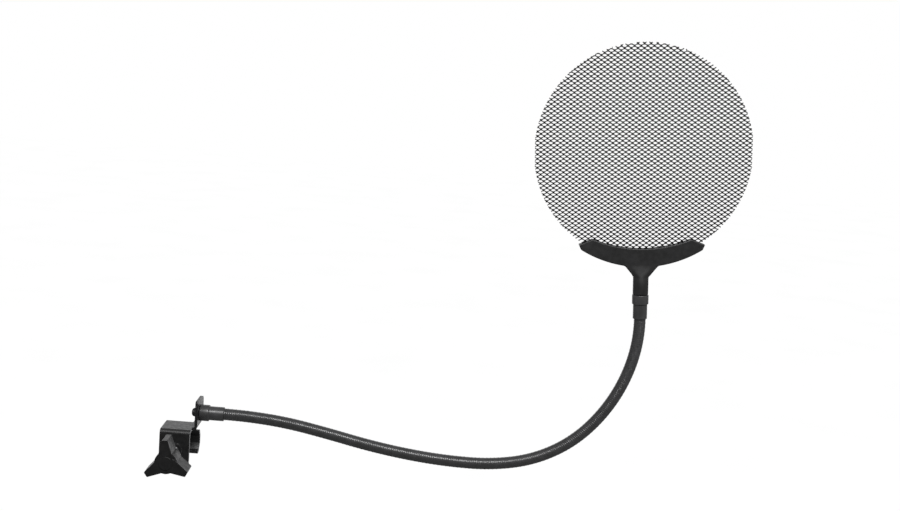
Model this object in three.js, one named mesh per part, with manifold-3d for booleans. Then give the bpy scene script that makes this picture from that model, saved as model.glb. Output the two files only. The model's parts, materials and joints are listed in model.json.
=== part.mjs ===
// A pop filter: a round metal screen in a moulded holder, carried by a gooseneck arm whose
// folded sheet-steel clamp grips a microphone stand. Millimetres, +Z up.
//
// The origin is the middle of the clamp's flat jaw face. +X runs along the stand tube towards
// the arm, +Y into the jaw, and the thumb screw comes in from -Y.

import * as THREE from "three";
import { mergeVertices } from "three/addons/utils/BufferGeometryUtils.js";
import Module from "manifold-3d";

const wasm = await Module();
wasm.setup();

// ---------------------------------------------------------------- driving dimensions

const GAP = 0.3; // air kept between separate pieces that touch on the real object
const ARM_Y = -7.5; // the arm, the holder and the screen are centred on this plane
const ARM_Z = 23; // height of the arm where it leaves the ear

const screen = {
  radius: 76.2,
  thickness: 0.8,
  holePitch: 18.24,
  rowPitch: 6.48,
  holeHalfWidth: 5.5,
  holeHalfHeight: 3.6,
  rim: 2.5,
};
const arm = { radius: 4, boreRadius: 1.9, segmentLength: 30.25, tuckedIn: 9 };
// How far each segment of the arm curves, from the clamp to the holder, in degrees.
const segmentBends = [-5, -6, -1.5, 3.5, 4, 5, 11.5, 18, 18.5, 15, 15, 16.5];
const fitting = {
  collarRadius: 5.8,
  collarLength: 6.4,
  sleeveRadius: 5,
  length: 17,
  chamfer: 0.4,
  socketDepth: 9.3,
  screwBoreRadius: 2.3,
  studRadius: 2.2,
  studLength: 9,
};
const sheet = { thickness: 2, bendRadius: 2, left: -11.3, right: 10, jawHalfWidth: 12.4 };
const clamp = { webTop: 14.4, legFront: -26.2, legBottom: -12.2, backOuter: -1.5 };
// The V of the jaw, and the lip folded forwards under it.
const jaw = { top: 8.8, flatTop: 3.2, flatBottom: -2.2, bottom: -7.4, lip: 3.4, sidesTop: 8.2 };
const tappedCollar = { radius: 5.2, length: 2.2 };
const ear = {
  left: 11.1,
  top: 33.1,
  front: -16.4,
  back: 4.8,
  overhangBottom: 12.8,
  backCorner: 5,
  frontCorner: 1.5,
  foldRadius: 1.5,
};
const thread = { radius: 3.175, holeRadius: 3.5 };
const pad = {
  face: -16,
  facing: 1.2,
  body: 2.8,
  radius: 6,
  shoeRadius: 6.4,
  neckRadius: 4.2,
  seatRadius: 2.6,
  seatDepth: 1.2,
};
const knob = {
  front: -56.2,
  lobeDepth: 14,
  reach: 16.2,
  turn: 4.5,
  hubRadius: 7.9,
  hubSetBack: 0.5,
  bossRadius: 6.4,
  bossLength: 3.7,
  capRadius: 4.6,
  capProud: 0.6,
  frontWall: 3.5,
};
const lobe = { rootHalf: 4.9, rootHeight: 5, tipHalf: 2.2, corner: 0.9 };
const earScrew = { headRadius: 3, headHeight: 2.2, shankRadius: 2, grip: 6, slotWidth: 0.9, slotDepth: 1.1 };
const lockWasher = { inner: 2.3, outer: 3.8, thickness: 1, split: 1 };
const holder = {
  halfDepth: 3.2,
  stemRadius: 5.45,
  stemEnd: -100.3,
  outerRadius: 80.4,
  cornerRadius: 78.5,
  cornerAngle: 34,
  crestX: 34.6,
  crestZ: -60.7,
  crestDip: -67.4,
  flareStart: 12.6,
  flareCurve: [11.2, -80.3],
  flareSide: [10.3, -81.4],
  neck: [4.9, -87.8],
};
const insert = { radius: 3.5, boreRadius: 2.5, length: 11 };

const radians = THREE.MathUtils.degToRad;

// ---------------------------------------------------------------- materials

const finish = (color, roughness, metalness) =>
  new THREE.MeshStandardMaterial({ color, roughness, metalness });

const materials = {
  screen: finish(0x161617, 0.5, 0.7),
  holder: finish(0x1d1d1f, 0.55, 0),
  arm: finish(0x3a3b3d, 0.45, 0.6),
  fitting: finish(0x2b2c2e, 0.4, 0.6),
  clamp: finish(0x1b1c1e, 0.45, 0.5),
  knob: finish(0x222224, 0.6, 0),
  zinc: finish(0x9a9ca0, 0.35, 0.9),
  brass: finish(0xb08d4a, 0.35, 0.9),
  rubber: finish(0x141414, 0.9, 0),
};

// ---------------------------------------------------------------- solid helpers

// A closed three.js geometry as a solid that can be joined and cut.
function solid(geometry) {
  const bare = geometry.clone();
  bare.deleteAttribute("normal");
  bare.deleteAttribute("uv");
  const merged = mergeVertices(bare, 1e-4);
  const corners = merged.index.array;
  const kept = [];
  for (let i = 0; i < corners.length; i += 3) {
    const [a, b, c] = corners.slice(i, i + 3);
    if (a !== b && b !== c && c !== a) kept.push(a, b, c);
  }
  return new wasm.Manifold(
    new wasm.Mesh({
      numProp: 3,
      vertProperties: new Float32Array(merged.attributes.position.array),
      triVerts: new Uint32Array(kept),
    }),
  );
}

// A solid as a three.js geometry.
function geometryOf(body) {
  const { vertProperties, triVerts } = body.getMesh();
  const geometry = new THREE.BufferGeometry();
  geometry.setAttribute("position", new THREE.BufferAttribute(vertProperties, 3));
  geometry.setIndex(new THREE.BufferAttribute(triVerts, 1));
  geometry.computeVertexNormals();
  return geometry;
}

const joined = (first, ...others) => others.reduce((all, one) => all.add(one), first);
const cut = (first, ...others) => others.reduce((all, one) => all.subtract(one), first);

function box(low, high) {
  const size = high.map((value, i) => value - low[i]);
  const geometry = new THREE.BoxGeometry(...size);
  geometry.translate(...low.map((value, i) => value + size[i] / 2));
  return solid(geometry);
}

function extruded(shape, depth, curveSegments = 10) {
  return new THREE.ExtrudeGeometry(shape, { depth, bevelEnabled: false, curveSegments });
}

// An outline drawn in X and Z, as deep as from front to back along Y.
function extrudedAlongY(shape, front, back) {
  const geometry = extruded(shape, back - front);
  geometry.rotateX(Math.PI / 2);
  geometry.translate(0, back, 0);
  return solid(geometry);
}

// An outline drawn in Y and Z, as wide as from left to right along X.
function extrudedAlongX(shape, left, right) {
  const geometry = extruded(shape, right - left);
  geometry.applyMatrix4(new THREE.Matrix4().set(0, 0, 1, left, 1, 0, 0, 0, 0, 1, 0, 0, 0, 0, 0, 1));
  return solid(geometry);
}

// A profile of [radius, height] pairs turned about the Z axis.
function turned(profile, segments = 20) {
  const points = profile.map(([radius, height]) => new THREE.Vector2(radius, height));
  const geometry = new THREE.LatheGeometry(points, segments);
  geometry.rotateX(Math.PI / 2);
  return geometry;
}

function cylinder(radius, bottom, top) {
  return turned([[0, bottom], [radius, bottom], [radius, top], [0, top]]);
}

// Turned pieces are drawn along Z; these lay them along +X or +Y through a point.
const alongX = (geometry, x, y, z) => geometry.rotateY(Math.PI / 2).translate(x, y, z);
const alongY = (geometry, x, y, z) => geometry.rotateX(-Math.PI / 2).translate(x, y, z);

// The outline of a bent strip: its middle line's corners are rounded and the line is given
// the sheet's thickness.
function bentStrip(corners, radius = sheet.bendRadius, thickness = sheet.thickness) {
  const line = corners.map(([a, b]) => new THREE.Vector2(a, b));
  const samples = [];
  const sample = (point, direction) => {
    const normal = new THREE.Vector2(-direction.y, direction.x);
    samples.push({ point, normal });
  };
  const stretch = (i) => line[i + 1].clone().sub(line[i]).normalize();
  sample(line[0], stretch(0));
  for (let i = 1; i < line.length - 1; i += 1) {
    const before = stretch(i - 1);
    const after = stretch(i);
    const turn = Math.atan2(before.cross(after), before.dot(after));
    const start = line[i].clone().addScaledVector(before, -radius * Math.tan(Math.abs(turn) / 2));
    const side = Math.sign(turn);
    const centre = start.clone().add(new THREE.Vector2(-before.y, before.x).multiplyScalar(side * radius));
    const steps = Math.ceil(Math.abs(turn) / radians(15));
    for (let k = 0; k <= steps; k += 1) {
      const angle = (turn * k) / steps;
      const point = start.clone().rotateAround(centre, angle);
      sample(point, before.clone().rotateAround(new THREE.Vector2(), angle));
    }
  }
  sample(line.at(-1), stretch(line.length - 2));
  const offset = (distance) => samples.map((s) => s.point.clone().addScaledVector(s.normal, distance));
  return new THREE.Shape([...offset(-thickness / 2), ...offset(thickness / 2).reverse()]);
}

const popFilter = new THREE.Group();

function addPiece(name, geometry, material, parent = popFilter) {
  const mesh = new THREE.Mesh(geometry, material);
  mesh.name = name;
  parent.add(mesh);
  return mesh;
}

// ---------------------------------------------------------------- clamp

// One strip of sheet steel: front leg, top web, back leg with a V-shaped jaw, and a lip.
function jawStrip() {
  const half = sheet.thickness / 2;
  const legY = clamp.legFront + half;
  const webZ = clamp.webTop - half;
  const backY = clamp.backOuter - half;
  return bentStrip([
    [legY, clamp.legBottom],
    [legY, webZ],
    [backY, webZ],
    [backY, jaw.top],
    [half, jaw.flatTop],
    [half, jaw.flatBottom],
    [backY, jaw.bottom],
    [backY - jaw.lip, jaw.bottom],
  ]);
}

// The ear is folded up from the web's right edge and overhangs the back leg.
function earPlate() {
  const half = sheet.thickness / 2;
  const foldStart = sheet.right - 2;
  const middle = ear.left + half;
  const webZ = clamp.webTop - half;
  const strip = bentStrip([[foldStart, webZ], [middle, webZ], [middle, ear.top]], ear.foldRadius);
  const outline = new THREE.Shape();
  outline.moveTo(ear.front, clamp.webTop - sheet.thickness);
  outline.lineTo(clamp.backOuter, clamp.webTop - sheet.thickness);
  outline.lineTo(clamp.backOuter, ear.overhangBottom);
  outline.lineTo(ear.back, ear.overhangBottom);
  const { backCorner, frontCorner } = ear;
  outline.absarc(ear.back - backCorner, ear.top - backCorner, backCorner, 0, Math.PI / 2);
  outline.absarc(ear.front + frontCorner, ear.top - frontCorner, frontCorner, Math.PI / 2, Math.PI);
  outline.closePath();
  const plate = extrudedAlongY(strip, ear.front, ear.back);
  return plate.intersect(extrudedAlongX(outline, foldStart, middle + half));
}

function addClampBracket() {
  const width = sheet.jawHalfWidth;
  const strip = extrudedAlongX(jawStrip(), -width, width);
  const sides = [[-width - 1, sheet.left], [sheet.right, width + 1]];
  const trims = sides.map(([left, right]) => {
    const legBack = clamp.legFront + sheet.thickness + 2 * sheet.bendRadius;
    const aboveJaw = box([left, clamp.legFront - 1, jaw.sidesTop], [right, 4, clamp.webTop + 1]);
    const frontLeg = box([left, clamp.legFront - 1, clamp.legBottom - 1], [right, legBack, jaw.top]);
    return aboveJaw.add(frontLeg);
  });
  const overlap = 0.4;
  const collarFront = clamp.legFront - tappedCollar.length + overlap;
  const collar = alongY(cylinder(tappedCollar.radius, 0, tappedCollar.length), 0, collarFront, 0);
  const drill = 2 * sheet.thickness + tappedCollar.length;
  const tappedHole = alongY(cylinder(thread.holeRadius, 0, drill), 0, collarFront - 1, 0);
  const earDrill = cylinder(fitting.screwBoreRadius, 0, 2 * sheet.thickness);
  const earHole = alongX(earDrill, ear.left - 1, ARM_Y, ARM_Z);
  const bracket = joined(cut(strip, ...trims), earPlate(), solid(collar));
  const drilled = cut(bracket, solid(tappedHole), solid(earHole));
  addPiece("clamp_bracket", geometryOf(drilled), materials.clamp);
}

function addPressurePad() {
  const facingFront = pad.face;
  const bodyFront = facingFront - pad.facing - GAP;
  const bodyBack = bodyFront - pad.body;
  const edge = 0.4;
  const facing = turned([
    [0, facingFront - pad.facing],
    [pad.radius, facingFront - pad.facing],
    [pad.radius, facingFront - edge],
    [pad.radius - edge, facingFront],
    [0, facingFront],
  ]);
  const shoe = turned([
    [0, bodyFront - pad.seatDepth],
    [pad.seatRadius, bodyFront - pad.seatDepth],
    [pad.seatRadius, bodyBack],
    [pad.neckRadius, bodyBack],
    [pad.shoeRadius, bodyFront - 1],
    [pad.shoeRadius, bodyFront],
    [0, bodyFront],
  ]);
  addPiece("pad_facing", alongY(facing, 0, 0, 0), materials.rubber);
  addPiece("pressure_pad", alongY(shoe, 0, 0, 0), materials.zinc);
  return { bodyFront, bodyBack };
}

function addThumbScrew({ bodyFront, bodyBack }) {
  const headEnd = knob.front + knob.frontWall + GAP;
  const shoulder = bodyBack - GAP;
  const tipRadius = pad.seatRadius - GAP;
  const tip = bodyFront - pad.seatDepth - GAP;
  const screw = turned([
    [0, headEnd],
    [thread.radius, headEnd],
    [thread.radius, shoulder - 0.6],
    [tipRadius, shoulder],
    [tipRadius, tip],
    [0, tip],
  ]);
  addPiece("thumb_screw", alongY(screw, 0, 0, 0), materials.zinc);
}

// One lobe of the knob, drawn upwards from the hub: wide at the root, narrow and round at the tip.
function lobeShape() {
  const { rootHalf, rootHeight, tipHalf, corner } = lobe;
  const shape = new THREE.Shape();
  shape.moveTo(-rootHalf, 0);
  shape.lineTo(rootHalf, 0);
  shape.lineTo(rootHalf, rootHeight);
  shape.lineTo(tipHalf, knob.reach - corner);
  shape.absarc(tipHalf - corner, knob.reach - corner, corner, 0, Math.PI / 2);
  shape.absarc(corner - tipHalf, knob.reach - corner, corner, Math.PI / 2, Math.PI);
  shape.lineTo(-rootHalf, rootHeight);
  shape.closePath();
  return shape;
}

function addKnob() {
  const back = knob.front + knob.lobeDepth;
  const lobes = [0, 120, 240].map((angle) =>
    extrudedAlongY(lobeShape(), knob.front, back).rotate([0, angle - knob.turn, 0]),
  );
  const round = (radius, from, to) => solid(alongY(cylinder(radius, from, to), 0, 0, 0));
  const hub = round(knob.hubRadius, knob.front + knob.hubSetBack, back);
  const boss = round(knob.bossRadius, back - 1, back + knob.bossLength);
  const cap = round(knob.capRadius, knob.front - knob.capProud, knob.front + 1);
  const bore = round(thread.holeRadius, knob.front + knob.frontWall, back + knob.bossLength + 1);
  const body = cut(joined(hub, boss, cap, ...lobes), bore);
  addPiece("thumb_screw_knob", geometryOf(body), materials.knob);
}

function addEarScrew() {
  const { inner, outer, thickness } = lockWasher;
  const washerRight = ear.left - GAP;
  const washerLeft = washerRight - thickness;
  const ring = solid(
    turned([
      [outer, washerLeft],
      [outer, washerRight],
      [inner, washerRight],
      [inner, washerLeft],
      [outer, washerLeft],
    ]),
  );
  const halfSplit = lockWasher.split / 2;
  const split = box([0, -halfSplit, washerLeft - 1], [outer + 1, halfSplit, washerRight + 1]);
  const washerBody = geometryOf(cut(ring, split));
  addPiece("ear_lock_washer", alongX(washerBody, 0, ARM_Y, ARM_Z), materials.zinc);

  const { headRadius, headHeight, shankRadius, grip, slotWidth, slotDepth } = earScrew;
  const headRight = washerLeft - GAP;
  const headLeft = headRight - headHeight;
  const shankEnd = ear.left + sheet.thickness + grip;
  const screw = solid(
    turned([
      [0, headLeft],
      [0.5 * headRadius, headLeft + 0.06 * headHeight],
      [0.82 * headRadius, headLeft + 0.26 * headHeight],
      [headRadius, headLeft + 0.62 * headHeight],
      [headRadius, headRight],
      [shankRadius, headRight],
      [shankRadius, shankEnd],
      [0, shankEnd],
    ]),
  );
  const halfSlot = slotWidth / 2;
  const slotLength = 0.55 * headRadius;
  const [slotLow, slotHigh] = [headLeft - 1, headLeft + slotDepth];
  const slots = [0, 90].map((angle) =>
    box([-slotLength, -halfSlot, slotLow], [slotLength, halfSlot, slotHigh]).rotate([0, 0, angle]),
  );
  const screwBody = geometryOf(cut(screw, ...slots));
  addPiece("ear_screw", alongX(screwBody, 0, ARM_Y, ARM_Z), materials.zinc);
}

// ---------------------------------------------------------------- arm

// The stepped outside that both end fittings share, from the collar's flat end to the mouth
// that the coil goes into. Heights count from the collar's end.
function fittingOutside() {
  const { collarRadius, collarLength, sleeveRadius, length, chamfer } = fitting;
  return [
    [collarRadius - chamfer, 0],
    [collarRadius, chamfer],
    [collarRadius, collarLength - chamfer],
    [collarRadius - chamfer, collarLength],
    [sleeveRadius, collarLength],
    [sleeveRadius, length - chamfer],
    [sleeveRadius - chamfer + 0.2, length],
    [arm.radius + GAP, length],
    [arm.radius + GAP, length - fitting.socketDepth],
  ];
}

function lowerFitting() {
  const bore = fitting.screwBoreRadius;
  return turned([
    [bore, 0],
    ...fittingOutside(),
    [bore, fitting.length - fitting.socketDepth],
    [bore, 0],
  ]);
}

function upperFitting() {
  const { studRadius, studLength, length, socketDepth } = fitting;
  return turned([
    [0, -studLength],
    [studRadius - 0.3, -studLength],
    [studRadius, 0.3 - studLength],
    [studRadius, 0],
    ...fittingOutside(),
    [0, length - socketDepth],
  ]);
}

// A segment's middle line: a straight lead-in, an arc in the XZ plane, and a straight lead-out.
class ArmCurve extends THREE.Curve {
  constructor(bend, leadIn, leadOut) {
    super();
    this.bend = bend;
    this.leadIn = leadIn;
    this.leadOut = leadOut;
  }

  getPoint(t, target = new THREE.Vector3()) {
    const length = arm.segmentLength;
    const along = t * (this.leadIn + length + this.leadOut) - this.leadIn;
    const onArc = THREE.MathUtils.clamp(along, 0, length);
    const radius = length / this.bend;
    const angle = onArc / radius;
    target.set(radius * Math.sin(angle), 0, radius * (1 - Math.cos(angle)));
    const beyond = along - onArc;
    return target.add(new THREE.Vector3(Math.cos(angle) * beyond, 0, Math.sin(angle) * beyond));
  }
}

function tubeAlong(curve, radius, steps, sides) {
  const section = new THREE.Shape();
  for (let i = 0; i < sides; i += 1) {
    const angle = (2 * Math.PI * i) / sides;
    const point = [radius * Math.cos(angle), radius * Math.sin(angle)];
    if (i === 0) section.moveTo(...point);
    else section.lineTo(...point);
  }
  section.closePath();
  return solid(new THREE.ExtrudeGeometry(section, { steps, extrudePath: curve }));
}

// A length of coil with a ball at its start and a cup at its end, so that neighbouring lengths
// turn about the ball's centre.
function armSegment(index) {
  const bend = radians(segmentBends[index]);
  const isFirst = index === 0;
  const isLast = index === segmentBends.length - 1;
  const leadIn = isFirst ? arm.tuckedIn : 0;
  const leadOut = isLast ? arm.tuckedIn : 0;
  const curve = new ArmCurve(bend, leadIn, leadOut);
  const steps = 5 + (isFirst ? 2 : 0) + (isLast ? 2 : 0);
  let body = tubeAlong(curve, arm.radius, steps, 12);
  if (!isFirst) {
    const ball = new THREE.SphereGeometry(arm.radius, 12, 8);
    body = body.add(solid(ball.rotateZ(Math.PI / 2)));
  }
  if (!isLast) {
    const cup = new THREE.SphereGeometry(arm.radius + 1.4 * GAP, 14, 10);
    const end = curve.getPoint(1);
    body = body.subtract(solid(cup.rotateZ(Math.PI / 2).translate(end.x, end.y, end.z)));
  }
  const overrun = new ArmCurve(bend, leadIn + 5, leadOut + 5);
  return geometryOf(body.subtract(tubeAlong(overrun, arm.boreRadius, steps, 6)));
}

// The arm's place and heading after each segment, in the XZ plane.
function armStations() {
  const start = { x: ear.left + sheet.thickness + GAP + fitting.length, z: ARM_Z, heading: 0 };
  const stations = [start];
  for (const bendDegrees of segmentBends) {
    const { x, z, heading } = stations.at(-1);
    const bend = radians(bendDegrees);
    const radius = arm.segmentLength / bend;
    stations.push({
      x: x + radius * (Math.sin(heading + bend) - Math.sin(heading)),
      z: z - radius * (Math.cos(heading + bend) - Math.cos(heading)),
      heading: heading + bend,
    });
  }
  return stations;
}

function addArm(stations) {
  const lower = alongX(lowerFitting(), ear.left + sheet.thickness + GAP, ARM_Y, ARM_Z);
  addPiece("lower_end_fitting", lower, materials.fitting);
  segmentBends.forEach((_, index) => {
    const { x, z, heading } = stations[index];
    const number = String(index + 1).padStart(2, "0");
    const segment = addPiece(`gooseneck_segment_${number}`, armSegment(index), materials.arm);
    segment.position.set(x, ARM_Y, z);
    segment.rotation.y = -heading;
  });
}

// ---------------------------------------------------------------- head
// The head is drawn about the screen's centre, with +Z away from the arm.

function addScreen(head) {
  const { radius, thickness, holePitch, rowPitch, holeHalfWidth, holeHalfHeight, rim } = screen;
  const disc = new THREE.Shape();
  disc.absarc(0, 0, radius, 0, 2 * Math.PI);
  const rows = Math.floor(radius / rowPitch);
  const columns = Math.ceil(radius / holePitch);
  for (let row = -rows; row <= rows; row += 1) {
    for (let column = -columns; column <= columns; column += 1) {
      const x = (column + (row % 2 === 0 ? 0 : 0.5)) * holePitch;
      const z = row * rowPitch;
      const reach = Math.hypot(Math.abs(x) + holeHalfWidth, Math.abs(z) + holeHalfHeight);
      if (reach >= radius - rim) continue;
      const corners = [[-holeHalfWidth, 0], [0, holeHalfHeight], [holeHalfWidth, 0], [0, -holeHalfHeight]];
      disc.holes.push(new THREE.Path(corners.map(([dx, dz]) => new THREE.Vector2(x + dx, z + dz))));
    }
  }
  const geometry = extruded(disc, thickness, 72);
  geometry.rotateX(Math.PI / 2).translate(0, thickness / 2, 0);
  addPiece("mesh_screen", geometry, materials.screen, head);
}

// The crescent and the flare under it, seen from the front.
function crescentShape() {
  const { outerRadius, cornerRadius, cornerAngle, crestX, crestZ, crestDip } = holder;
  const { flareStart, flareCurve, flareSide, neck } = holder;
  const rise = crestZ - crestDip;
  const crestRadius = (crestX ** 2 + rise ** 2) / (2 * rise);
  const crestAngle = Math.asin(crestX / crestRadius);
  const corner = radians(cornerAngle);
  const lowCorner = [cornerRadius * Math.sin(corner), -cornerRadius * Math.cos(corner)];
  const outerAngle = corner - radians(2);
  const flareAngle = Math.asin(flareStart / outerRadius);
  const down = -Math.PI / 2;
  const shape = new THREE.Shape();
  shape.absarc(0, crestDip + crestRadius, crestRadius, down - crestAngle, down + crestAngle);
  shape.lineTo(lowCorner[0], lowCorner[1] + 1);
  shape.absarc(0, 0, outerRadius, down + outerAngle, down + flareAngle, true);
  shape.quadraticCurveTo(...flareCurve, ...flareSide);
  shape.lineTo(...neck);
  shape.lineTo(-neck[0], neck[1]);
  shape.lineTo(-flareSide[0], flareSide[1]);
  shape.quadraticCurveTo(-flareCurve[0], flareCurve[1], -flareStart, -outerRadius * Math.cos(flareAngle));
  shape.absarc(0, 0, outerRadius, down - flareAngle, down - outerAngle, true);
  shape.lineTo(-lowCorner[0], lowCorner[1] + 1);
  shape.closePath();
  return shape;
}

// Half way up the crescent on its middle line, where the stem's domed end is buried in it.
function crescentMiddle() {
  return (holder.crestDip - holder.outerRadius) / 2;
}

// The whole holder as one lump, before it is split into its front and rear shells.
function holderBlank() {
  const plate = extrudedAlongY(crescentShape(), -holder.halfDepth, holder.halfDepth);
  const { stemRadius, stemEnd, neck } = holder;
  const shoulder = neck[1];
  const crown = crescentMiddle();
  const dome = [0, 1, 2, 3, 4, 5].map((i) => {
    const angle = (Math.PI / 2) * (i / 5);
    return [stemRadius * Math.cos(angle), shoulder + (crown - shoulder) * Math.sin(angle)];
  });
  dome[5][0] = 0;
  const stem = turned([[0, stemEnd], [stemRadius - 0.4, stemEnd], [stemRadius, stemEnd + 0.4], ...dome]);
  return plate.add(solid(stem));
}

function addHolder(head) {
  const slotHalf = screen.thickness / 2 + GAP;
  const slotShape = new THREE.Shape().absarc(0, 0, screen.radius + 0.5, 0, 2 * Math.PI);
  const slot = solid(
    extruded(slotShape, 2 * slotHalf, 64).rotateX(Math.PI / 2).translate(0, slotHalf, 0),
  );
  const insertTop = holder.stemEnd + insert.length + GAP;
  const pocket = solid(cylinder(insert.radius + GAP, holder.stemEnd - 1, insertTop + GAP));
  const blank = cut(holderBlank(), slot, pocket);
  const reach = 100;
  const frontHalf = box([-reach, -20, -2 * reach], [reach, -GAP / 2, 0]);
  const rearHalf = box([-reach, GAP / 2, -2 * reach], [reach, 20, 0]);
  addPiece("holder_front_shell", geometryOf(blank.intersect(frontHalf)), materials.holder, head);
  addPiece("holder_rear_shell", geometryOf(blank.intersect(rearHalf)), materials.holder, head);

  const { radius, boreRadius, length } = insert;
  const bottom = holder.stemEnd + GAP;
  const bush = turned([
    [radius, bottom],
    [radius, bottom + length * 0.4],
    [radius - 0.3, bottom + length * 0.45],
    [radius - 0.3, bottom + length * 0.55],
    [radius, bottom + length * 0.6],
    [radius, bottom + length],
    [boreRadius, bottom + length],
    [boreRadius, bottom],
    [radius, bottom],
  ]);
  addPiece("holder_thread_insert", bush, materials.brass, head);
}

function addHead(station) {
  const fittingTop = fitting.length;
  const centreHeight = fittingTop + GAP - holder.stemEnd;
  const head = new THREE.Group();
  head.position.set(
    station.x + centreHeight * Math.cos(station.heading),
    ARM_Y,
    station.z + centreHeight * Math.sin(station.heading),
  );
  head.rotation.y = Math.PI / 2 - station.heading;
  popFilter.add(head);
  addScreen(head);
  addHolder(head);
  const upper = upperFitting();
  upper.rotateX(Math.PI).translate(0, 0, holder.stemEnd - GAP);
  addPiece("upper_end_fitting", upper, materials.fitting, head);
}

addClampBracket();
addThumbScrew(addPressurePad());
addKnob();
addEarScrew();
const stations = armStations();
addArm(stations);
addHead(stations.at(-1));

export default popFilter;
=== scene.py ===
"""Looks for the pop filter: a lanced metal screen in a moulded holder, a wound gooseneck arm, and
a folded steel clamp with a thumb screw. Everything is in metres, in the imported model's frame."""
import json
import math

import bmesh
import bpy
from mathutils import Matrix, Vector

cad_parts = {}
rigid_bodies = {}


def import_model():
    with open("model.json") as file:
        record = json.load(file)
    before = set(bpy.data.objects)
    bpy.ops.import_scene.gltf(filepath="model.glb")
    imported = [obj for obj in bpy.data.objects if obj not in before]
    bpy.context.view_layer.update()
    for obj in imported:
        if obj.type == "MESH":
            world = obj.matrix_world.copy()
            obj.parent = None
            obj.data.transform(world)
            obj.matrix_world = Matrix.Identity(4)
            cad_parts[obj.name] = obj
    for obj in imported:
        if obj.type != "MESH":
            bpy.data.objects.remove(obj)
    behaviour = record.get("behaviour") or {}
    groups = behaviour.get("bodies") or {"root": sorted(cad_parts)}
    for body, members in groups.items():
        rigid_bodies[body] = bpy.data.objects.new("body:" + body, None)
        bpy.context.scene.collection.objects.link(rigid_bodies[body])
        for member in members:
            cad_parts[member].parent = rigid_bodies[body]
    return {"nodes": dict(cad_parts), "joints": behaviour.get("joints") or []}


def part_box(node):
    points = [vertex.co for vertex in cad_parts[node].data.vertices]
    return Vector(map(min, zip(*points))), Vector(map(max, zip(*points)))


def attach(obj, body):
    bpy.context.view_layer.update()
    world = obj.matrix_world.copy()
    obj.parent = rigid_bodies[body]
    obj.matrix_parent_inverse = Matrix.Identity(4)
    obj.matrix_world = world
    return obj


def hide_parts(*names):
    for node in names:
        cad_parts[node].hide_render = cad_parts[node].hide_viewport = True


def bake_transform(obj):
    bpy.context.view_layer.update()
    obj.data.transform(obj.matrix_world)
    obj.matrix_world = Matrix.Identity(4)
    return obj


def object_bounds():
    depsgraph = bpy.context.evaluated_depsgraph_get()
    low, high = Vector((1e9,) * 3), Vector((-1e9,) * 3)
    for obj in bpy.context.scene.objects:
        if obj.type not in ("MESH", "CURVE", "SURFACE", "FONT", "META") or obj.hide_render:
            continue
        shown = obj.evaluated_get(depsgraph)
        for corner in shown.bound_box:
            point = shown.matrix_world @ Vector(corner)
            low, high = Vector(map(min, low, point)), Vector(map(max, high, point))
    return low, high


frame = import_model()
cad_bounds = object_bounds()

MM = 0.001
HEAD_LEAN = math.radians(4.5)  # the head leans this far back over the arm
ROUND_STEPS = 64  # sides of a turned piece


# ------------------------------------------------------------------ mesh helpers

class Draft:
    """Points and faces of a mesh that is being built."""

    def __init__(self):
        self.points = []
        self.faces = []

    def skin(self, rings, looped=False):
        """Closed rings of equally many points, skinned one to the next, and capped unless looped."""
        base, size = len(self.points), len(rings[0])
        for ring in rings:
            self.points.extend(ring)
        for i in range(len(rings) if looped else len(rings) - 1):
            a, b = base + i * size, base + (i + 1) % len(rings) * size
            for j in range(size):
                k = (j + 1) % size
                self.faces.append((a + j, a + k, b + k, b + j))
        if not looped:
            last = base + (len(rings) - 1) * size
            self.faces.append(tuple(base + j for j in reversed(range(size))))
            self.faces.append(tuple(last + j for j in range(size)))

    def mesh(self, name):
        made = bpy.data.meshes.new(name)
        made.from_pydata(self.points, [], self.faces)
        return made

    def finished(self, name, sharp_angle):
        return finished_object(name, self.mesh(name), sharp_angle)

    def plain(self, name):
        """The draft as an object just as it is, for a tool or the floor."""
        return linked(bpy.data.objects.new(name, self.mesh(name)))


def linked(made):
    bpy.context.scene.collection.objects.link(made)
    return made


def finished_object(name, mesh, sharp_angle):
    """An object in the scene with its faces pointing out, smooth but for edges over the angle."""
    work = bmesh.new()
    work.from_mesh(mesh)
    bmesh.ops.recalc_face_normals(work, faces=work.faces)
    work.to_mesh(mesh)
    work.free()
    mesh.shade_smooth()
    mesh.set_sharp_from_angle(angle=math.radians(sharp_angle))
    return linked(bpy.data.objects.new(name, mesh))


def arc(centre, radius, start, end, steps):
    """Points on an arc, angles in degrees from the first axis."""
    points = []
    for i in range(steps + 1):
        angle = math.radians(start + (end - start) * i / steps)
        points.append((centre[0] + radius * math.cos(angle), centre[1] + radius * math.sin(angle)))
    return points


def rounded(profile, radius):
    """A closed profile with every corner rounded, by less where a side is short."""
    steps = 3
    corners = [Vector(p) for p in profile]
    points = []
    for i, corner in enumerate(corners):
        before, after = corners[i - 1] - corner, corners[(i + 1) % len(corners)] - corner
        reach = min(radius, before.length * 0.45, after.length * 0.45)
        start, end = corner + before.normalized() * reach, corner + after.normalized() * reach
        for k in range(steps + 1):
            t = k / steps
            bent = start * (1 - t) ** 2 + corner * 2 * t * (1 - t) + end * t ** 2
            points.append((bent.x, bent.y))
    return points


def turned(name, profile, place):
    """A closed [radius, height] profile turned about Z, then placed by a matrix."""
    draft = Draft()
    rings = []
    for i in range(ROUND_STEPS):
        angle = 2 * math.pi * i / ROUND_STEPS
        c, s = math.cos(angle), math.sin(angle)
        rings.append([place @ Vector((r * c, r * s, h)) for r, h in profile])
    draft.skin(rings, looped=True)
    return draft.finished(name, 35)


def fastened(piece, body, slot, material, *nodes):
    """Gives a piece its material and body, and lets it stand for its CAD nodes. The slot is not
    used.
    """
    piece.data.materials.clear()
    piece.data.materials.append(material)
    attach(piece, body)
    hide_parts(*nodes)


# ------------------------------------------------------------------ materials

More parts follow.
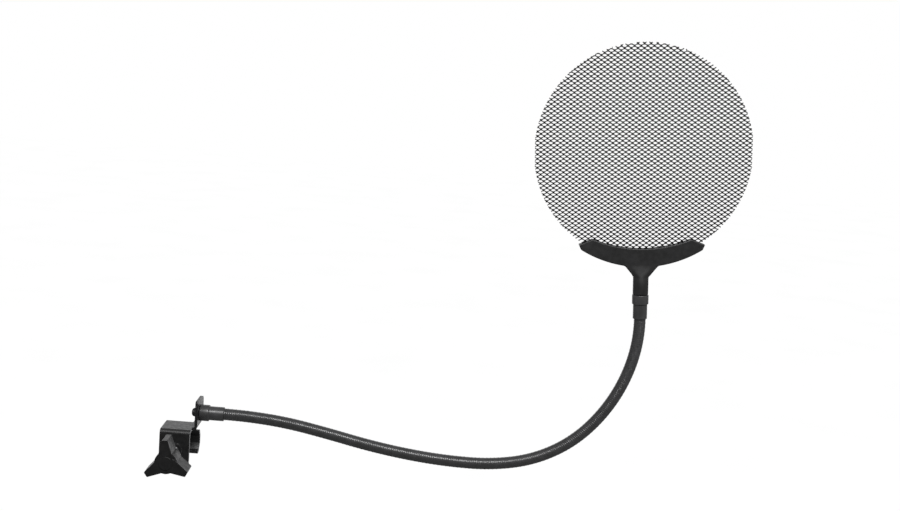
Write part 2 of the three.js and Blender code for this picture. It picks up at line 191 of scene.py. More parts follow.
class Shader:
    """A small node tree around one Principled shader."""

    def __init__(self, name, roughness=0.5, metallic=0.0, specular=0.5):
        self.material = bpy.data.materials.new(name)
        self.material.use_nodes = True
        self.tree = self.material.node_tree
        self.surface = self.tree.nodes["Principled BSDF"]
        self.surface.inputs["Roughness"].default_value = roughness
        self.surface.inputs["Metallic"].default_value = metallic
        self.surface.inputs["Specular IOR Level"].default_value = specular
        self.place = self.node("ShaderNodeTexCoord").outputs["Object"]

    def node(self, kind, **settings):
        made = self.tree.nodes.new(kind)
        for key, value in settings.items():
            setattr(made, key, value)
        return made

    def link(self, output, node, socket):
        self.tree.links.new(output, node.inputs[socket])

    def noise(self, scale, detail=4.0, roughness=0.55):
        """Noise with features about 1/scale metres across."""
        texture = self.node("ShaderNodeTexNoise")
        texture.inputs["Scale"].default_value = scale
        texture.inputs["Detail"].default_value = detail
        texture.inputs["Roughness"].default_value = roughness
        self.link(self.place, texture, "Vector")
        return texture.outputs["Fac"]

    def ranged(self, value, low, high, from_low=0.3, from_high=0.7):
        """The value carried from one range to another."""
        scaled = self.node("ShaderNodeMapRange")
        self.link(value, scaled, "Value")
        scaled.inputs["From Min"].default_value = from_low
        scaled.inputs["From Max"].default_value = from_high
        scaled.inputs["To Min"].default_value = low
        scaled.inputs["To Max"].default_value = high
        return scaled.outputs["Result"]

    def ramp(self, value, *stops):
        """The value as a colour, by stops of (position, colour)."""
        ramp = self.node("ShaderNodeValToRGB")
        self.link(value, ramp, "Fac")
        elements = ramp.color_ramp.elements
        for i, (position, color) in enumerate(stops):
            element = elements[i] if i < 2 else elements.new(position)
            element.position = position
            element.color = (*color, 1)
        return ramp.outputs["Color"]

    def mixed(self, factor, first, second):
        mix = self.node("ShaderNodeMix", data_type="RGBA")
        self.link(factor, mix, "Factor")
        self.link(first, mix, 6)
        self.link(second, mix, 7)
        return mix.outputs[2]

    def color(self, output):
        self.link(output, self.surface, "Base Color")

    def roughness(self, output):
        self.link(output, self.surface, "Roughness")

    def bump(self, *layers):
        """Layers of (height, depth in metres), stacked."""
        normal = None
        for height, depth in layers:
            bump = self.node("ShaderNodeBump")
            bump.inputs["Strength"].default_value = 1.0
            bump.inputs["Distance"].default_value = depth
            self.link(height, bump, "Height")
            if normal:
                self.link(normal, bump, "Normal")
            normal = bump.outputs["Normal"]
        self.link(normal, self.surface, "Normal")

    def edge_wear(self, radius):
        """1 along edges that get rubbed, where rounding would turn the surface, and 0 elsewhere."""
        start, end = 0.02, 0.12  # how far rounding turns it, as 1 - the cosine
        bevel = self.node("ShaderNodeBevel", samples=6)
        bevel.inputs["Radius"].default_value = radius
        geometry = self.node("ShaderNodeNewGeometry")
        dot = self.node("ShaderNodeVectorMath", operation="DOT_PRODUCT")
        self.link(bevel.outputs["Normal"], dot, 0)
        self.link(geometry.outputs["Normal"], dot, 1)
        turned_away = self.ranged(dot.outputs["Value"], 1.0, 0.0, 1 - end, 1 - start)
        patches = self.ranged(self.noise(900), 0.0, 1.0, 0.42, 0.62)
        both = self.node("ShaderNodeMath", operation="MULTIPLY")
        self.link(turned_away, both, 0)
        self.link(patches, both, 1)
        return both.outputs["Value"]


def grey(level, tint=1.0):
    """A neutral colour, slightly cool where tint is over 1."""
    return (level, level, level * tint)


def moulded_plastic(name, level, roughness, grain_depth, grain_scale=2600):
    """Moulded plastic: a fine spark-eroded grain, faint mottling and uneven gloss."""
    shader = Shader(name, roughness, specular=0.45)
    mottle = shader.noise(120, 3)
    shader.color(shader.ramp(mottle, (0.3, grey(level * 0.85)), (0.7, grey(level * 1.2, 1.03))))
    shader.roughness(shader.ranged(shader.noise(260, 5), roughness - 0.07, roughness + 0.08))
    grain, sinks = shader.noise(grain_scale, 3, 0.6), shader.noise(90, 2)
    shader.bump((grain, grain_depth), (sinks, 4 * grain_depth))
    return shader.material


def painted_steel(name, level, roughness):
    """Satin paint on sheet steel: orange peel, uneven gloss, and bare metal along rubbed edges."""
    bare = 0.16
    shader = Shader(name, roughness)
    mottle = shader.noise(70, 4)
    paint = shader.ramp(mottle, (0.3, grey(level * 0.8)), (0.72, grey(level * 1.25, 1.04)))
    steel = shader.ramp(shader.noise(1500, 2), (0.3, grey(bare * 0.7)), (0.7, grey(bare, 1.03)))
    wear = shader.edge_wear(0.25 * MM)
    shader.color(shader.mixed(wear, paint, steel))
    shader.roughness(shader.ranged(shader.noise(420, 6), roughness - 0.08, roughness + 0.1))
    shader.bump((shader.noise(1500, 2), 0.012 * MM), (shader.noise(240, 2), 0.03 * MM))
    return shader.material


def screen_paint(name, level, roughness):
    """Thin matt paint on fine cut metal: a blotchy film and a gloss that comes and goes."""
    shader = Shader(name, roughness, specular=0.35)
    film = shader.noise(180, 4)
    shader.color(shader.ramp(film, (0.3, grey(level * 0.7)), (0.72, grey(level * 1.4, 1.04))))
    shader.roughness(shader.ranged(shader.noise(900, 5), roughness - 0.1, roughness + 0.12))
    shader.bump((shader.noise(2400, 3), 0.01 * MM))
    return shader.material


def plated_steel(name, level, roughness):
    """Dark plated steel with fine marks and uneven gloss."""
    shader = Shader(name, roughness, metallic=0.85)
    marks = shader.noise(1400, 4, 0.7)
    shader.color(shader.ramp(marks, (0.25, grey(level * 0.7)), (0.75, grey(level * 1.3, 1.04))))
    shader.roughness(shader.ranged(shader.noise(500, 5), roughness - 0.08, roughness + 0.12))
    shader.bump((marks, 0.01 * MM))
    return shader.material


def coil_oxide(name, level, roughness):
    """Oxide-blacked spring wire, satin, with fine marks and slightly uneven colour."""
    shader = Shader(name, roughness, metallic=0.25)
    patches = shader.noise(160, 4)
    shader.color(shader.ramp(patches, (0.3, grey(level * 0.82)), (0.7, grey(level * 1.18, 1.03))))
    shader.roughness(shader.ranged(shader.noise(700, 5), roughness - 0.06, roughness + 0.08))
    shader.bump((shader.noise(2600, 3, 0.6), 0.01 * MM))
    return shader.material


def rubber(name, level):
    """Dull black rubber with a fine grain."""
    shader = Shader(name, 0.85, specular=0.3)
    patches = shader.noise(300, 4)
    shader.color(shader.ramp(patches, (0.3, grey(level * 0.8)), (0.7, grey(level * 1.3))))
    shader.roughness(shader.ranged(shader.noise(900, 4), 0.75, 0.95))
    shader.bump((shader.noise(3000, 4, 0.7), 0.03 * MM))
    return shader.material


def turned_brass(name):
    """Brass with fine turning marks, from dull to bright."""
    dull, bright = (0.38, 0.27, 0.11), (0.56, 0.43, 0.2)
    shader = Shader(name, 0.35, metallic=0.95)
    marks = shader.noise(1500, 3, 0.6)
    shader.color(shader.ramp(marks, (0.25, dull), (0.75, bright)))
    shader.roughness(shader.ranged(shader.noise(700, 4), 0.28, 0.5))
    shader.bump((marks, 0.008 * MM))
    return shader.material


HOLDER_PLASTIC = moulded_plastic("holder_plastic", 0.009, 0.48, 0.025 * MM)
KNOB_PLASTIC = moulded_plastic("knob_plastic", 0.007, 0.42, 0.03 * MM, 2200)
CLAMP_PAINT = painted_steel("clamp_paint", 0.009, 0.4)
FITTING_BLACK = painted_steel("fitting_black", 0.034, 0.36)
SCREEN_COAT = screen_paint("screen_coat", 0.009, 0.5)
COIL_OXIDE = coil_oxide("coil_oxide", 0.045, 0.3)
ZINC_STEEL = plated_steel("zinc_steel", 0.06, 0.46)
PAD_RUBBER = rubber("pad_rubber", 0.018)
BRASS = turned_brass("brass")


# ------------------------------------------------------------------ the frame's own places

def middle_of(node):
    low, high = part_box(node)
    return (low + high) / 2


SCREEN_CENTRE = middle_of("mesh_screen")
# Pieces of the head are drawn about the screen's centre, with +Z away from the arm.
HEAD = Matrix.Translation(SCREEN_CENTRE) @ Matrix.Rotation(-HEAD_LEAN, 4, "Y")
SCREEN_RADIUS = (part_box("mesh_screen")[1].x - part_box("mesh_screen")[0].x) / 2


def lowest_in_head(node):
    """How low a node reaches along the head's own Z."""
    to_head = HEAD.inverted()
    return min((to_head @ v.co).z for v in frame["nodes"][node].data.vertices)


# ------------------------------------------------------------------ gooseneck

class ArmLine:
    """The arm's middle line: one arc for each segment, each leaving in the direction that the one
    before it ended in, and straight on beyond both ends."""

    def __init__(self):
        mouth = middle_of("lower_end_fitting")
        mouth.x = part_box("lower_end_fitting")[1].x
        bends = [j for j in frame["joints"] if j["name"].startswith("arm_bend")]
        self.bodies = [bends[0]["parent"]] + [j["child"] for j in bends]
        self.starts = [mouth] + [Vector(j["pos_m"]) for j in bends]
        self.headings = [0.0]
        for here, there in zip(self.starts, self.starts[1:]):
            chord = math.atan2(there.z - here.z, there.x - here.x)
            self.headings.append(2 * chord - self.headings[-1])
        self.headings.append(math.pi / 2 + HEAD_LEAN)
        half = self.turn(0) / 2
        self.length = (self.starts[1] - self.starts[0]).length * half / math.sin(half)

    def turn(self, index):
        return self.headings[index + 1] - self.headings[index]

    def at(self, distance):
        """(point, the in-plane direction square to the line) at a distance from the lower mouth."""
        last = len(self.starts) - 1
        index = min(max(int(distance // self.length), 0), last)
        along = distance - index * self.length
        on_arc = min(max(along, 0.0), self.length)
        heading, curvature = self.headings[index], self.turn(index) / self.length
        here = heading + curvature * on_arc
        point = self.starts[index].copy()
        point.x += (math.sin(here) - math.sin(heading)) / curvature
        point.z -= (math.cos(here) - math.cos(heading)) / curvature
        beyond = along - on_arc
        point += Vector((math.cos(here), 0, math.sin(here))) * beyond
        return point, Vector((-math.sin(here), 0, math.cos(here)))


COIL = {
    "pitch": 2.8 * MM,
    "outside": 4.22 * MM,  # the arm's radius over the coil
    "tucked_in": 9 * MM,  # how far the coil goes on inside each end fitting
    "steps": 24,  # around a turn
}
# Half the outline of each wire, from its middle, as (distance along the arm, depth below the arm's
# outside) in mm. The flat wire fills the gaps between the turns of the crowned one.
CROWNED_WIRE = [(0.0, 0.0), (0.36, 0.015), (0.62, 0.055), (0.69, 0.11), (0.76, 0.4), (0.8, 1.2),
                (0.4, 1.8)]
FLAT_WIRE = [(0.0, 0.08), (0.34, 0.09), (0.56, 0.12), (0.63, 0.18), (0.67, 0.4), (0.6, 1.1)]


def wire_section(half_outline, shift):
    """A wire's closed section as (distance along the arm, radius), moved along the arm."""
    left = [(-x, depth) for x, depth in reversed(half_outline[1:])]
    return [(shift + x * MM, COIL["outside"] - depth * MM) for x, depth in [*left, *half_outline]]


def wind(draft, line, section, first, last):
    """Winds a wire of that section about the line, from the first turn to the last."""
    steps = round((last - first) * COIL["steps"])
    rings = []
    for i in range(steps + 1):
        turn = first + (last - first) * i / steps
        angle = 2 * math.pi * turn
        ring = []
        for along, radius in section:
            point, up = line.at(turn * COIL["pitch"] + along)
            outwards = up * math.cos(angle) + Vector((0, -math.sin(angle), 0))
            ring.append(point + outwards * radius)
        rings.append(ring)
    draft.skin(rings)


def make_gooseneck():
    line = ArmLine()
    joints = len(line.bodies) - 1
    turns = line.length / COIL["pitch"]  # in one segment
    tucked_in = COIL["tucked_in"] / COIL["pitch"]
    # Each piece runs from the middle of one segment to the middle of the next, across a joint. The
    # wires are cut three quarters of the way round, behind the arm.
    cuts = [math.floor((k + 0.5) * turns) + 0.75 for k in range(joints + 1)]
    cuts[0], cuts[-1] = -tucked_in, (joints + 1) * turns + tucked_in
    clear = 2 * COIL["pitch"]  # how far the start and end points lie inside a piece's ends
    for k in range(joints):
        draft = Draft()
        wind(draft, line, wire_section(CROWNED_WIRE, 0), cuts[k], cuts[k + 1])
        wind(draft, line, wire_section(FLAT_WIRE, COIL["pitch"] / 2), cuts[k], cuts[k + 1])
        piece = draft.finished(f"gooseneck_coil_{k + 1:02d}", 50)
        piece.data.materials.append(COIL_OXIDE)
        start = line.at((k + 0.5) * line.length + clear)[0]
        end = line.at((k + 1.5) * line.length - clear)[0]
        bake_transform(piece)
        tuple(start)
        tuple(end)
        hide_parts(f"gooseneck_segment_{k + 1:02d}")
        if k == joints - 1:
            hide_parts(f"gooseneck_segment_{k + 2:02d}")


# ------------------------------------------------------------------ end fittings

# Both end fittings, in mm: radii, except where a length is named.
FITTING = {
    "collar": 5.8,
    "collar_length": 6.4,
    "step_length": 0.25,  # of the short cone from the collar down to the sleeve
    "sleeve": 5.0,
    "length": 17.0,
    "bore": 2.3,
    "socket_length": 9.3,
    "socket_play": 0.15,  # between the coil and the socket's wall
    "corner": 0.35,  # rounding of its turned edges
}


def fitting_profile():
    """The stepped fitting, as a closed [radius, height] profile in mm from the collar's flat end."""
    f = FITTING
    socket = COIL["outside"] / MM + f["socket_play"]
    step = f["collar_length"] + f["step_length"]
    floor = f["length"] - f["socket_length"]
    outside = [(f["collar"], 0), (f["collar"], f["collar_length"]), (f["sleeve"], step)]
    mouth = [(f["sleeve"], f["length"]), (socket, f["length"])]
    inside = [(socket, floor), (f["bore"], floor)]
    corners = [(f["bore"], 0), *outside, *mouth, *inside]
    return [(r * MM, h * MM) for r, h in rounded(corners, f["corner"])]


def make_fittings():
    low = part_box("lower_end_fitting")[0]
    middle = middle_of("lower_end_fitting")
    place = Matrix.Translation((low.x, middle.y, middle.z)) @ Matrix.Rotation(math.pi / 2, 4, "Y")
    lower = turned("lower_fitting", fitting_profile(), place)
    fastened(lower, "clamp", "fitting_black", FITTING_BLACK, "lower_end_fitting")

    collar_end = lowest_in_head("upper_end_fitting") + FITTING["length"] * MM
    upside_down = Matrix.Rotation(math.pi, 4, "X")
    place = HEAD @ Matrix.Translation((0, 0, collar_end)) @ upside_down
    upper = turned("upper_fitting", fitting_profile(), place)
    fastened(upper, "head", "fitting_black", FITTING_BLACK, "upper_end_fitting")


# ------------------------------------------------------------------ screen

LANCED = {
    "pitch": 4.54 * MM,  # between knuckles along a row
    "row": 1.57 * MM,  # between rows of knuckles
    "spread": 0.00013 / MM,  # the rows open out slightly towards the top
    "shift": (1.04 * MM, 0.35 * MM),  # of one knuckle from the centre
    "flat": 0.5 * MM,  # half the straight length at a knuckle
    "strand": 0.84 * MM,  # a strand's width, seen from the front
    "thickness": 0.42 * MM,
    "slope": 0.22 * MM,  # half of how far a strand goes back from its lower to its upper knuckle
    "lean": 0.16 * MM,  # of the strand's own section
    "ease": 0.55,  # of its climb: 0 is straight, 1 is a smooth step
}


def row_height(row):
    """How far a row of knuckles is above the screen's centre."""
    flat = LANCED["row"] * row
    return flat + LANCED["spread"] * flat * flat + LANCED["shift"][1]


def strand_at(row, x):
    """Height and depth of the middle of the strand between a row of knuckles and the next one up."""
    pitch, flat = LANCED["pitch"], LANCED["flat"]
    lower_knuckle = LANCED["shift"][0] + (row % 2) * pitch / 2
    from_lower = abs((x - lower_knuckle + pitch / 2) % pitch - pitch / 2)
    t = min(max((from_lower - flat) / (pitch / 2 - 2 * flat), 0.0), 1.0)
    climb = t + LANCED["ease"] * (t * t * (3 - 2 * t) - t)
    low = row_height(row) + LANCED["strand"] / 2
    high = row_height(row + 1) - LANCED["strand"] / 2
    return low + (high - low) * climb, LANCED["slope"] * (2 * climb - 1)


def strand_stations(row, reach):
    """Places along a strand: the ends of every straight, and two more on every slope."""
    pitch, flat = LANCED["pitch"], LANCED["flat"]
    first = LANCED["shift"][0] + (row % 2) * pitch / 2
    rise = pitch / 2 - 2 * flat
    near_end = 0.22 * rise
    offsets = [-flat, flat, flat + near_end, flat + rise - near_end]
    halves = int(2 * reach / pitch) + 2
    xs = []
    for i in range(-halves, halves + 1):
        xs.extend(first + i * pitch / 2 + o for o in offsets)
    return [x for x in xs if abs(x) < reach]


def on_screen(row, x):
    """Whether a strand's outer edge is still inside the round screen."""
    height = abs(strand_at(row, x)[0])
    steepness = min(height / SCREEN_RADIUS, 1.0)
    return math.hypot(x, height + steepness * LANCED["strand"] / 2) < SCREEN_RADIUS


def edge_between(row, inside, outside):
    """Where a strand crosses the screen's round edge."""
    for _ in range(14):
        middle = (inside + outside) / 2
        if on_screen(row, middle):
            inside = middle
        else:
            outside = middle
    return inside


def strand_ring(row, x):
    """The strand's section at x: a leaning bar, its top further forward than its bottom."""
    height, depth = strand_at(row, x)
    half, thick, lean = LANCED["strand"] / 2, LANCED["thickness"] / 2, LANCED["lean"]
    top = [(-thick - lean, half), (thick - lean, half)]
    bottom = [(thick + lean, -half), (-thick + lean, -half)]
    return [HEAD @ Vector((x, depth + y, height + z)) for y, z in top + bottom]


def make_screen():
    draft = Draft()
    rows = int(SCREEN_RADIUS / LANCED["row"]) + 3
    for row in range(-rows, rows):
        run = []
        stations = strand_stations(row, SCREEN_RADIUS)
        for i, x in enumerate(stations):
            inside = on_screen(row, x)
            if inside and not run and i > 0:
                run.append(edge_between(row, x, stations[i - 1]))
            if inside:
                run.append(x)
            elif run:
                run.append(edge_between(row, stations[i - 1], x))
            if run and (not inside or i == len(stations) - 1):
                if len(run) > 3:
                    draft.skin([strand_ring(row, station) for station in run])
                run = []
    screen = draft.finished("lanced_screen", 60)
    fastened(screen, "head", "screen_steel", SCREEN_COAT, "mesh_screen")


# ------------------------------------------------------------------ holder

# The holder about the screen's centre, in mm and degrees. Angles are from straight down.
HOLDER = {
    "outer": 80.4,  # radius of the crescent's lower edge
    "outer_end": 32,  # where that arc stops, short of the corner
    "corner_radius": 79.0,  # of the crescent's lower corners, about a point 1 mm higher
    "corner_angle": 34,
    "crest": (34.6, -60.7),  # the crescent's upper tips
    "dip": -67.4,  # height of its upper edge, halfway between them
    "flare": [(12.4, -79.44), (11.4, -80.0), (10.6, -80.9), (5.3, -87.4)],
    "half_depth": 3.2,
    "stem": 5.45,  # radius
    "neck": -87.8,  # height where the flare meets the stem
    "run_in": (-94.0, -77.0),  # heights between which the round stem turns into the flat plate
    "run_in_gain": 6.2,  # in half the width, from the neck up
    "slot": 0.55,  # half the screen's slot
    "slot_play": 0.5,  # past the screen's edge
    "insert_pocket": 3.8,
    "insert_depth": 11.6,
}
HOLDER_VOXEL = 0.3 * MM
PARTING = 0.06 * MM  # half the fine line between the two shells


def crescent_outline():
    """The crescent and the flare under it, seen from the front, in mm about the screen's centre."""
    h = HOLDER
    crest_x, crest_z = h["crest"]
    rise = crest_z - h["dip"]
    crest_radius = (crest_x ** 2 + rise ** 2) / (2 * rise)
    spread = math.degrees(math.asin(crest_x / crest_radius))
    corner = math.radians(h["corner_angle"])
    low_corner = (h["corner_radius"] * math.sin(corner), 1 - h["corner_radius"] * math.cos(corner))
    flare_angle = math.degrees(math.asin(h["flare"][0][0] / h["outer"]))
    inner = arc((0, h["dip"] + crest_radius), crest_radius, -90 - spread, -90 + spread, 48)
    right = arc((0, 0), h["outer"], -90 + h["outer_end"], -90 + flare_angle, 32)
    side = [low_corner, *right, *h["flare"][1:]]
    mirrored = [(-x, z) for x, z in reversed(side)]
    return inner + side + mirrored


def plate(name, outline, half_depth):
    """A front outline in mm, drawn out to both sides of the head's middle plane."""
    draft = Draft()
    draft.skin([[Vector((x, y, z)) * MM for x, z in outline] for y in (half_depth, -half_depth)])
    return draft.plain(name)


def rod(name, radius, bottom, top):
    """A round rod along Z, in mm."""
    circle = arc((0, 0), radius, 0, 360 - 360 / ROUND_STEPS, ROUND_STEPS - 1)
    draft = Draft()
    draft.skin([[Vector((x, y, height)) * MM for x, y in circle] for height in (bottom, top)])
    return draft.plain(name)


def stem_run_in():
    """The body between the round stem and the flat plate. It widens with the flare as it thins, and
    its section goes from a circle to a rounded oblong."""
    h = HOLDER
    low, high = h["run_in"]
    thinnest = h["half_depth"] - 0.1  # just inside the plate
    rows, around = 24, 72
    draft = Draft()
    rings = []
    for i in range(rows + 1):
        t = i / rows
        height = low + (high - low) * t
        widening = min(max((height - h["neck"]) / (high - h["neck"]), 0.0), 1.0)
        thinning = t * t * (3 - 2 * t)
        width = h["stem"] + h["run_in_gain"] * widening
        depth = h["stem"] + (thinnest - h["stem"]) * thinning
        power = 2 / (2 + 4 * widening)
        ring = []
        for k in range(around):
            angle = math.radians(k * 360 / around)
            c, s = math.cos(angle), math.sin(angle)
            x = width * math.copysign(abs(c) ** power, c)
            y = depth * math.copysign(abs(s) ** power, s)
            ring.append(Vector((x, y, height)) * MM)
        rings.append(ring)
    draft.skin(rings)
    return draft.plain("holder_run_in")


def holder_lump():
    """The whole holder in the head's own frame: plate and stem run together, slotted and bored."""
    h = HOLDER
    stem_end = lowest_in_head("holder_front_shell") / MM
    overlap, past_the_end = 0.5, 2.0
    lump = plate("holder_lump", crescent_outline(), h["half_depth"])
    stem = rod("holder_stem", h["stem"], stem_end, h["run_in"][0] + overlap)
    run_in = stem_run_in()
    disc = arc((0, 0), SCREEN_RADIUS / MM + h["slot_play"], 0, 357, 119)
    slot = plate("holder_slot", disc, h["slot"])
    pocket_ends = stem_end - past_the_end, stem_end + h["insert_depth"]
    pocket = rod("holder_pocket", h["insert_pocket"], *pocket_ends)
    steps = ((stem, "UNION"), (run_in, "UNION"), (slot, "DIFFERENCE"), (pocket, "DIFFERENCE"))
    for tool, operation in steps:
        step = lump.modifiers.new(operation, "BOOLEAN")
        step.object, step.operation, step.solver = tool, operation, "EXACT"
    remesh = lump.modifiers.new("remesh", "REMESH")
    remesh.mode, remesh.voxel_size = "VOXEL", HOLDER_VOXEL
    smooth = lump.modifiers.new("smooth", "SMOOTH")
    smooth.factor, smooth.iterations = 0.5, 7
    graph = bpy.context.evaluated_depsgraph_get()
    whole = bpy.data.meshes.new_from_object(lump.evaluated_get(graph))
    for used in (lump, stem, run_in, slot, pocket):
        bpy.data.objects.remove(used)
    return whole


def make_holder():
    """The holder cut along its middle plane into a front shell and a rear shell."""
    whole = holder_lump()
    for side, name in ((-1, "holder_front"), (1, "holder_rear")):
        work = bmesh.new()
        work.from_mesh(whole)
        split = bmesh.ops.bisect_plane(
            work, geom=work.verts[:] + work.edges[:] + work.faces[:], dist=1e-7,
            plane_co=(0, side * PARTING, 0), plane_no=(0, -side, 0), clear_outer=True)
        rim = [g for g in split["geom_cut"] if isinstance(g, bmesh.types.BMEdge)]
        bmesh.ops.triangle_fill(work, edges=rim, use_beauty=True, normal=(0, -side, 0))
        work.transform(HEAD)
        mesh = bpy.data.meshes.new(name)
        work.to_mesh(mesh)
        work.free()
        shell = finished_object(name, mesh, 50)
        fastened(shell, "head", "holder_plastic", HOLDER_PLASTIC, f"{name}_shell")


# ------------------------------------------------------------------ clamp

def refined(node, name, rounding, steps):
    """A copy of a CAD node's mesh with its flat faces merged and its sharp edges rounded."""
    crease = math.radians(32)
    work = bmesh.new()
    work.from_mesh(frame["nodes"][node].data)
    bmesh.ops.remove_doubles(work, verts=work.verts, dist=1e-6)
    bmesh.ops.dissolve_limit(work, angle_limit=math.radians(1), verts=work.verts, edges=work.edges)
    sharp = [e for e in work.edges if e.is_manifold and e.calc_face_angle() > crease]
    bmesh.ops.bevel(work, geom=sharp, offset=rounding, offset_type="OFFSET", segments=steps,
                    profile=0.5, affect="EDGES", clamp_overlap=True)
    mesh = bpy.data.meshes.new(name)
    work.to_mesh(mesh)
    work.free()
    made = finished_object(name, mesh, 40)
    weighted = made.modifiers.new("normals", "WEIGHTED_NORMAL")
    weighted.keep_sharp = True
    return made


THREAD = {
    "pitch": 1.27 * MM,
    "depth": 0.69 * MM,
    "flank": 3,  # how steeply the thread's sides fall
    "crest": 0.25,  # how wide its flat top is
    "around": 32,  # points in a ring
    "rows_per_pitch": 8,
    "run_out": 0.8,  # how much of the depth is gone at the thread's last ring
}
NOSE = {"radius": 2.3 * MM, "length": 1.5 * MM, "chamfer": 0.3 * MM, "step": 0.2 * MM}


def make_thumb_screw():
    """A rod whose radius rises and falls along a helix, with a plain nose that the shoe turns on."""
    low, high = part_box("thumb_screw")
    radius = (high.x - low.x) / 2
    threaded_end = high.y - NOSE["length"]
    pitch, rows = THREAD["pitch"], THREAD["rows_per_pitch"]

    def ring(y, radius_at):
        points = []
        for i in range(THREAD["around"]):
            turn = i / THREAD["around"]
            r, angle = radius_at(turn), 2 * math.pi * turn
            points.append(Vector((r * math.cos(angle), y, r * math.sin(angle))))
        return points

    def thread_ring(y, run_out):
        def radius_at(turn):
            phase = ((y - low.y) / pitch + turn) % 1
            valley = min(max(abs(phase - 0.5) * THREAD["flank"] - THREAD["crest"], 0.0), 1.0)
            return radius - THREAD["depth"] * (1 - (1 - valley) * (1 - run_out))
        return ring(y, radius_at)

    count = int((threaded_end - low.y) / pitch * rows)
    rings = [thread_ring(low.y + i * pitch / rows, 0) for i in range(count)]
    rings.append(thread_ring(threaded_end, THREAD["run_out"]))
    for y in (threaded_end + NOSE["step"], high.y - NOSE["chamfer"]):
        rings.append(ring(y, lambda turn: NOSE["radius"]))
    rings.append(ring(high.y, lambda turn: NOSE["radius"] - NOSE["chamfer"]))
    draft = Draft()
    draft.skin(rings)
    screw = draft.finished("clamping_screw", 50)
    fastened(screw, "screw", "zinc_steel", ZINC_STEEL, "thumb_screw")


# CAD nodes whose shape is right: node, piece, rounding in mm and its steps, body, slot, material.
REFINED = [
    ("clamp_bracket", "folded_bracket", 0.3, 2, "clamp", "clamp_paint", CLAMP_PAINT),
    ("thumb_screw_knob", "knob", 0.45, 3, "screw", "knob_plastic", KNOB_PLASTIC),
    ("ear_screw", "ear_pan_screw", 0.12, 2, "clamp", "zinc_steel", ZINC_STEEL),
    ("ear_lock_washer", "split_washer", 0.1, 2, "clamp", "zinc_steel", ZINC_STEEL),
    ("pressure_pad", "swivel_shoe", 0.15, 2, "pad", "zinc_steel", ZINC_STEEL),
    ("pad_facing", "shoe_facing", 0.12, 2, "pad", "pad_rubber", PAD_RUBBER),
    ("holder_thread_insert", "threaded_insert", 0.1, 2, "head", "insert_brass", BRASS),
]


def make_refined_pieces():
    for node, name, rounding, steps, body, slot, material in REFINED:
        fastened(refined(node, name, rounding * MM, steps), body, slot, material, node)


# ------------------------------------------------------------------ studio

CAMERA_PITCH = math.radians(9)
CAMERA_LENS = 50.0
CAMERA_DISTANCE = 0.869  # from the lens to the screen's centre, along the view
SCREEN_OFF_AXIS = (0.13472, 0.07157)  # how far right of and above the view's axis the screen is
FLOOR_DROP = 0.32  # below the object, which hangs on its clamp
FLOOR_REACH = 6.0
STRIP_PLACE = (0.2, -0.8, 0.85)  # of the strip light, from the object's middle
STRIP_SIZE = (1.06, 0.06)
STRIP_POWER = 22
# Light from around the object, from straight in front (0) to straight behind it (1).
WORLD_LIGHT = [(0.0, 0.08), (0.12, 0.16), (0.34, 0.4), (0.6, 0.3), (0.86, 0.2), (0.95, 1.2)]


def make_camera():
    """The camera looks down a little, at an object tilted until its screen stands upright."""
    upright = Matrix.Rotation(HEAD_LEAN, 4, "Y")
    ahead = Vector((0, math.cos(CAMERA_PITCH), -math.sin(CAMERA_PITCH)))
    above = Vector((0, math.sin(CAMERA_PITCH), math.cos(CAMERA_PITCH)))
    right = Vector((1, 0, 0))
    off_right, off_up = SCREEN_OFF_AXIS
    offset = ahead * CAMERA_DISTANCE + right * off_right + above * off_up
    turned_axes = Matrix((right, above, -ahead)).transposed().to_4x4()
    data = bpy.data.cameras.new("camera")
    data.sensor_width, data.lens, data.clip_start = 36.0, CAMERA_LENS, 0.01
    camera = linked(bpy.data.objects.new("camera", data))
    place = Matrix.Translation(upright @ SCREEN_CENTRE - offset) @ turned_axes
    camera.matrix_world = upright.inverted() @ place
    bpy.context.scene.camera = camera


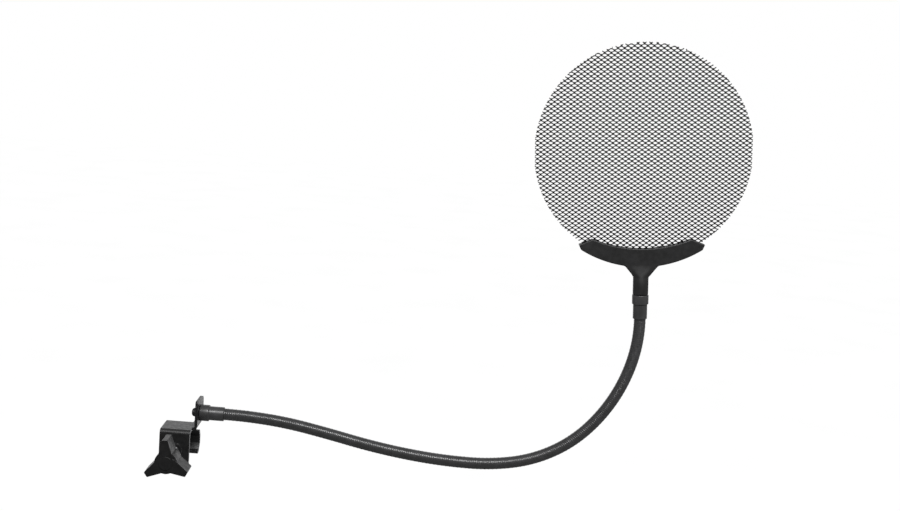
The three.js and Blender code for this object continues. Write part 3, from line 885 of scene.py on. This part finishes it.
def make_world():
    """Light that depends on the direction it comes from. The camera itself sees white."""
    world = bpy.data.worlds.new("studio")
    bpy.context.scene.world = world
    world.use_nodes = True
    tree = world.node_tree
    coordinate = tree.nodes.new("ShaderNodeTexCoord")
    split = tree.nodes.new("ShaderNodeSeparateXYZ")
    behind = tree.nodes.new("ShaderNodeMapRange")
    behind.inputs["From Min"].default_value = -1.0
    ramp = tree.nodes.new("ShaderNodeValToRGB")
    ray = tree.nodes.new("ShaderNodeLightPath")
    mix = tree.nodes.new("ShaderNodeMix")
    mix.data_type = "RGBA"
    tree.links.new(coordinate.outputs["Generated"], split.inputs[0])
    tree.links.new(split.outputs["Y"], behind.inputs["Value"])
    tree.links.new(behind.outputs["Result"], ramp.inputs["Fac"])
    for i, (position, level) in enumerate(WORLD_LIGHT):
        stop = ramp.color_ramp.elements[i] if i < 2 else ramp.color_ramp.elements.new(position)
        stop.position, stop.color = position, (*grey(level, 1.01), 1)
    tree.links.new(ray.outputs["Is Camera Ray"], mix.inputs["Factor"])
    tree.links.new(ramp.outputs["Color"], mix.inputs[6])
    mix.inputs[7].default_value = (1, 1, 1, 1)
    background = tree.nodes["Background"]
    tree.links.new(mix.outputs[2], background.inputs["Color"])
    background.inputs["Strength"].default_value = 1.0


def make_strip_light(middle):
    """A long thin light above and in front of the object, along it."""
    data = bpy.data.lights.new("strip", "AREA")
    data.shape, data.energy = "RECTANGLE", STRIP_POWER
    data.size, data.size_y = STRIP_SIZE
    light = linked(bpy.data.objects.new("strip", data))
    light.location = middle + Vector(STRIP_PLACE)
    light.rotation_euler = (middle - light.location).to_track_quat("-Z", "Y").to_euler()


def floor_paper():
    """A pale sheet that glows, so that it stays pale wherever it is seen from."""
    paper = Shader("floor_paper", 0.9, specular=0.0)
    paper.color(paper.ramp(paper.noise(4, 2), (0.2, grey(0.04)), (0.8, grey(0.05))))
    glow = paper.ramp(paper.noise(6, 2), (0.2, grey(0.97)), (0.8, grey(1.0)))
    paper.link(glow, paper.surface, "Emission Color")
    paper.surface.inputs["Emission Strength"].default_value = 1.0
    return paper.material


def make_floor(middle, height):
    draft = Draft()
    corners = [(-FLOOR_REACH, -FLOOR_REACH), (FLOOR_REACH, -FLOOR_REACH),
               (FLOOR_REACH, FLOOR_REACH), (-FLOOR_REACH, FLOOR_REACH)]
    draft.points = [Vector((middle.x + x, middle.y + y, height)) for x, y in corners]
    draft.faces = [(0, 1, 2, 3)]
    floor = draft.plain("floor")
    floor.data.materials.append(floor_paper())
    floor.visible_diffuse = False
    floor.visible_glossy = False


def make_studio():
    low, high = cad_bounds
    middle = (low + high) / 2
    make_world()
    make_floor(middle, low.z - FLOOR_DROP)
    make_strip_light(middle)
    view = bpy.context.scene.view_settings
    view.view_transform = "Standard"
    view.look = "None"


make_camera()
make_studio()
make_gooseneck()
make_fittings()
make_screen()
make_holder()
make_thumb_screw()
make_refined_pieces()
